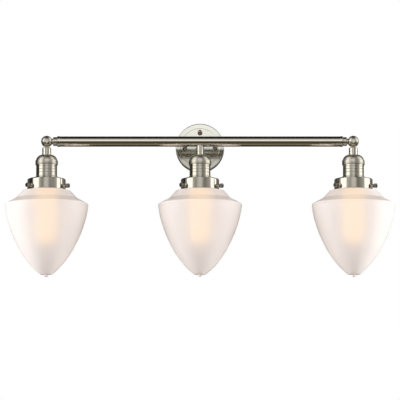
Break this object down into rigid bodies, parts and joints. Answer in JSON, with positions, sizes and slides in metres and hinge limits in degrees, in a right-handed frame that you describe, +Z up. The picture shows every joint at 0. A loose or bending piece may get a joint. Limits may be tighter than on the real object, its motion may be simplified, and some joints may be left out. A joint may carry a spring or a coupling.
{
  "type": "vanity light bar",
  "caption": "Wall-mounted bath bar light: a nickel bar on a round backplate with closed bullet-shaped opal glass shades hanging from swivelling sockets.",
  "frame": {"origin": "centre of the backplate's rear face, on the wall plane", "axes": "+X to the viewer's right along the bar, +Y into the wall, +Z up; the light faces -Y"},
  "size_m": [0.8412, 0.2, 0.3466],
  "materials": {
    "satin_nickel": "brushed satin nickel plate",
    "polished_nickel": "fine-brushed, nearly polished nickel plate",
    "opal_glass": "cased opal white glass, glossy outside",
    "frosted_bulb": "frosted white bulb",
    "lamp_cap_metal": "rolled nickel-plated lamp cap",
    "brass": "raw turned brass",
    "porcelain": "glazed porcelain, stated as plastic because the list has no ceramic",
    "zinc_steel": "zinc-plated steel strap",
    "green_screw": "green grounding screw",
    "wire_sleeve": "wire sleeving"
  },
  "bodies": {
    "fixture": {"backplate": "polished_nickel", "mounting_bracket": "zinc_steel", "ground_screw": "green_screw", "arm_nipple": "brass", "arm_locknut": "brass", "arm_collar": "polished_nickel", "arm_tube": "polished_nickel", "bar_tube": "polished_nickel", "middle_stem": "polished_nickel", "lead_wires": "wire_sleeve", "ball_nut_right": "polished_nickel", "ball_nut_top": "polished_nickel", "ball_nut_left": "polished_nickel", "ball_nut_bottom": "polished_nickel", "bar_end_left": "polished_nickel", "bar_end_right": "polished_nickel", "socket_cap_middle": "satin_nickel", "socket_shell_middle": "satin_nickel", "insulator_middle": "porcelain", "lamp_contacts_middle": "brass", "shade_holder_middle": "satin_nickel", "shade_glass_middle": "opal_glass", "lamp_base_middle": "lamp_cap_metal", "lamp_bulb_middle": "frosted_bulb"},
    "left_swivel": {"swivel_fork_left": "satin_nickel", "swivel_nut_left": "brass", "pivot_screw_left": "satin_nickel", "pivot_nut_left": "satin_nickel"},
    "left_head": {"neck_left": "satin_nickel", "socket_cap_left": "satin_nickel", "socket_shell_left": "satin_nickel", "insulator_left": "porcelain", "lamp_contacts_left": "brass", "shade_holder_left": "satin_nickel", "shade_glass_left": "opal_glass", "lamp_base_left": "lamp_cap_metal", "lamp_bulb_left": "frosted_bulb"},
    "right_swivel": {"swivel_fork_right": "satin_nickel", "swivel_nut_right": "brass", "pivot_screw_right": "satin_nickel", "pivot_nut_right": "satin_nickel"},
    "right_head": {"neck_right": "satin_nickel", "socket_cap_right": "satin_nickel", "socket_shell_right": "satin_nickel", "insulator_right": "porcelain", "lamp_contacts_right": "brass", "shade_holder_right": "satin_nickel", "shade_glass_right": "opal_glass", "lamp_base_right": "lamp_cap_metal", "lamp_bulb_right": "frosted_bulb"},
    "left_screw_a": {"thumb_screw_left_a": "satin_nickel"},
    "left_screw_b": {"thumb_screw_left_b": "satin_nickel"},
    "left_screw_c": {"thumb_screw_left_c": "satin_nickel"},
    "middle_screw_a": {"thumb_screw_middle_a": "satin_nickel"},
    "middle_screw_b": {"thumb_screw_middle_b": "satin_nickel"},
    "middle_screw_c": {"thumb_screw_middle_c": "satin_nickel"},
    "right_screw_a": {"thumb_screw_right_a": "satin_nickel"},
    "right_screw_b": {"thumb_screw_right_b": "satin_nickel"},
    "right_screw_c": {"thumb_screw_right_c": "satin_nickel"}
  },
  "joints": [
    {"name": "left_swivel_turn", "type": "hinge", "parent": "fixture", "child": "left_swivel", "pos_m": [-0.3306, -0.11, 0], "axis": [1, 0, 0], "range_deg": [-180, 7.5]},
    {"name": "left_knuckle_tilt", "type": "hinge", "parent": "left_swivel", "child": "left_head", "pos_m": [-0.3306, -0.11, 0], "axis": [0, 1, 0], "range_deg": [0, 90]},
    {"name": "right_swivel_turn", "type": "hinge", "parent": "fixture", "child": "right_swivel", "pos_m": [0.3306, -0.11, 0], "axis": [1, 0, 0], "range_deg": [-180, 7.5]},
    {"name": "right_knuckle_tilt", "type": "hinge", "parent": "right_swivel", "child": "right_head", "pos_m": [0.3306, -0.11, 0], "axis": [0, 1, 0], "range_deg": [-90, 0]},
    {"name": "left_screw_a_out", "type": "slide", "parent": "left_head", "child": "left_screw_a", "axis": [-0.788, -0.6157, 0], "range_m": [0, 0.004]},
    {"name": "left_screw_b_out", "type": "slide", "parent": "left_head", "child": "left_screw_b", "axis": [0.9272, -0.3746, 0], "range_m": [0, 0.004]},
    {"name": "left_screw_c_out", "type": "slide", "parent": "left_head", "child": "left_screw_c", "axis": [-0.1392, 0.9903, 0], "range_m": [0, 0.004]},
    {"name": "middle_screw_a_out", "type": "slide", "parent": "fixture", "child": "middle_screw_a", "axis": [-0.788, -0.6157, 0], "range_m": [0, 0.004]},
    {"name": "middle_screw_b_out", "type": "slide", "parent": "fixture", "child": "middle_screw_b", "axis": [0.9272, -0.3746, 0], "range_m": [0, 0.004]},
    {"name": "middle_screw_c_out", "type": "slide", "parent": "fixture", "child": "middle_screw_c", "axis": [-0.1392, 0.9903, 0], "range_m": [0, 0.004]},
    {"name": "right_screw_a_out", "type": "slide", "parent": "right_head", "child": "right_screw_a", "axis": [-0.788, -0.6157, 0], "range_m": [0, 0.004]},
    {"name": "right_screw_b_out", "type": "slide", "parent": "right_head", "child": "right_screw_b", "axis": [0.9272, -0.3746, 0], "range_m": [0, 0.004]},
    {"name": "right_screw_c_out", "type": "slide", "parent": "right_head", "child": "right_screw_c", "axis": [-0.1392, 0.9903, 0], "range_m": [0, 0.004]}
  ]
}
